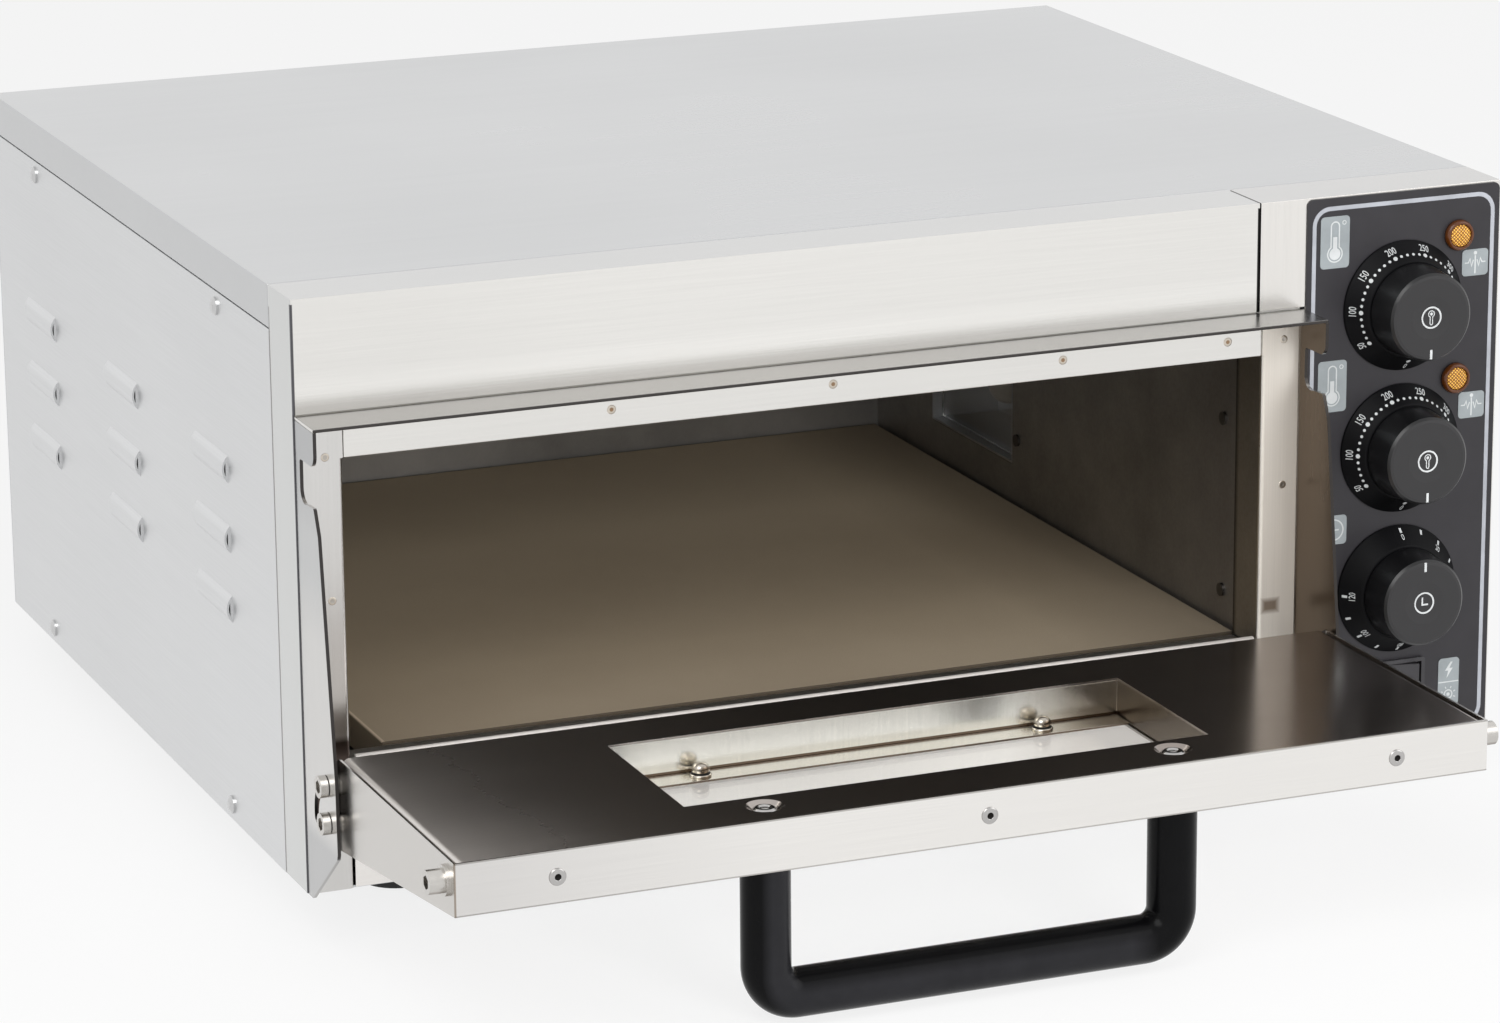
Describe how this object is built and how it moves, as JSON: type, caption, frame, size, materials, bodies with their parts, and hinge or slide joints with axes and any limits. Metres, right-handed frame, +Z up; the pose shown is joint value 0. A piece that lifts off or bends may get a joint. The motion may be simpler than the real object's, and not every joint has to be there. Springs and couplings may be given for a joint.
{
  "type": "electric pizza oven",
  "caption": "Countertop electric pizza oven with a stone deck, a window door that drops down in front, and a control panel with dials, lamps and a switch.",
  "frame": {"origin": "on the floor, under the middle of the whole outline with the door open", "axes": "+X to the right seen from the front, -Y towards the person at the door, +Z up"},
  "size_m": [0.5666, 0.6609, 0.28],
  "materials": {
    "brushed_steel": "fine brushed stainless steel",
    "polished_steel": "smooth bright stainless steel",
    "galvanised_steel": "plain galvanised steel",
    "heat_dark_steel": "dark heat-proof coating",
    "element_sheath": "dark oxidised sheath",
    "black_overlay": "satin printed film",
    "icon_grey": "satin",
    "black_plastic": "satin moulded plastic",
    "black_gloss": "glossy",
    "amber_lens": "faceted, clear amber",
    "stone": "rough fired clay",
    "clear_glass": "clear toughened glass",
    "wool": "loose mineral wool",
    "rubber": "matte",
    "ceramic": "glazed ceramic"
  },
  "bodies": {
    "oven": {"top_cover": "brushed_steel", "left_side_panel": "brushed_steel", "right_side_panel": "brushed_steel", "back_panel": "galvanised_steel", "base_tray": "galvanised_steel", "top_rails": "galvanised_steel", "front_frame": "brushed_steel", "control_plate": "brushed_steel", "control_overlay": "black_overlay", "icon_plates": "icon_grey", "partition_wall": "galvanised_steel", "left_hinge_bracket": "polished_steel", "right_hinge_bracket": "polished_steel", "visor": "brushed_steel", "sill": "polished_steel", "mouth_jambs": "heat_dark_steel", "chamber_left_wall": "heat_dark_steel", "chamber_right_wall": "heat_dark_steel", "chamber_back_wall": "heat_dark_steel", "chamber_ceiling": "heat_dark_steel", "chamber_floor": "heat_dark_steel", "pizza_stone": "stone", "stone_rails": "heat_dark_steel", "upper_heater": "element_sheath", "lower_heater": "element_sheath", "heater_hangers": "heat_dark_steel", "insulation": "wool", "lamp_housing": "galvanised_steel", "lamp_glass": "clear_glass", "lamp_bulb": "ceramic", "chamber_rivets": "polished_steel", "upper_thermostat": "galvanised_steel", "lower_thermostat": "galvanised_steel", "timer": "galvanised_steel", "terminal_block": "ceramic", "dial_skirts": "black_plastic", "pilot_lamp_rims": "amber_lens", "pilot_lamp_lenses": "amber_lens", "switch_body": "black_plastic", "rubber_feet": "rubber", "casing_screws": "polished_steel", "cable_gland": "black_plastic"},
    "door": {"door_skin": "brushed_steel", "door_inner_panel": "polished_steel", "window_frame": "polished_steel", "door_glass": "clear_glass", "glass_retainers": "polished_steel", "retainer_nuts": "polished_steel", "door_filling": "wool", "door_handle": "black_gloss", "handle_screws": "polished_steel", "door_rivets": "polished_steel", "hinge_studs": "polished_steel", "latch_studs": "polished_steel"},
    "upper_thermostat_knob": {"upper_thermostat_knob": "black_plastic"},
    "lower_thermostat_knob": {"lower_thermostat_knob": "black_plastic"},
    "timer_knob": {"timer_knob": "black_plastic"},
    "power_rocker": {"power_rocker": "black_plastic"},
    "lamp_rocker": {"lamp_rocker": "black_plastic"}
  },
  "joints": [
    {"name": "door_hinge", "type": "hinge", "parent": "oven", "child": "door", "pos_m": [-0.04755, -0.1833, 0.0655], "axis": [-1, 0, 0], "range_deg": [0, 90]},
    {"name": "upper_thermostat_turn", "type": "hinge", "parent": "oven", "child": "upper_thermostat_knob", "pos_m": [0.2322, -0.174, 0.228], "axis": [0, 1, 0], "range_deg": [0, 270]},
    {"name": "lower_thermostat_turn", "type": "hinge", "parent": "oven", "child": "lower_thermostat_knob", "pos_m": [0.2322, -0.174, 0.163], "axis": [0, 1, 0], "range_deg": [0, 270]},
    {"name": "timer_turn", "type": "hinge", "parent": "oven", "child": "timer_knob", "pos_m": [0.2322, -0.174, 0.098], "axis": [0, 1, 0], "range_deg": [0, 270]},
    {"name": "power_rocker_tip", "type": "hinge", "parent": "oven", "child": "power_rocker", "pos_m": [0.2322, -0.151, 0.05705], "axis": [0, 0, 1], "range_deg": [0, 16]},
    {"name": "lamp_rocker_tip", "type": "hinge", "parent": "oven", "child": "lamp_rocker", "pos_m": [0.2322, -0.151, 0.04395], "axis": [0, 0, 1], "range_deg": [0, 16]}
  ]
}
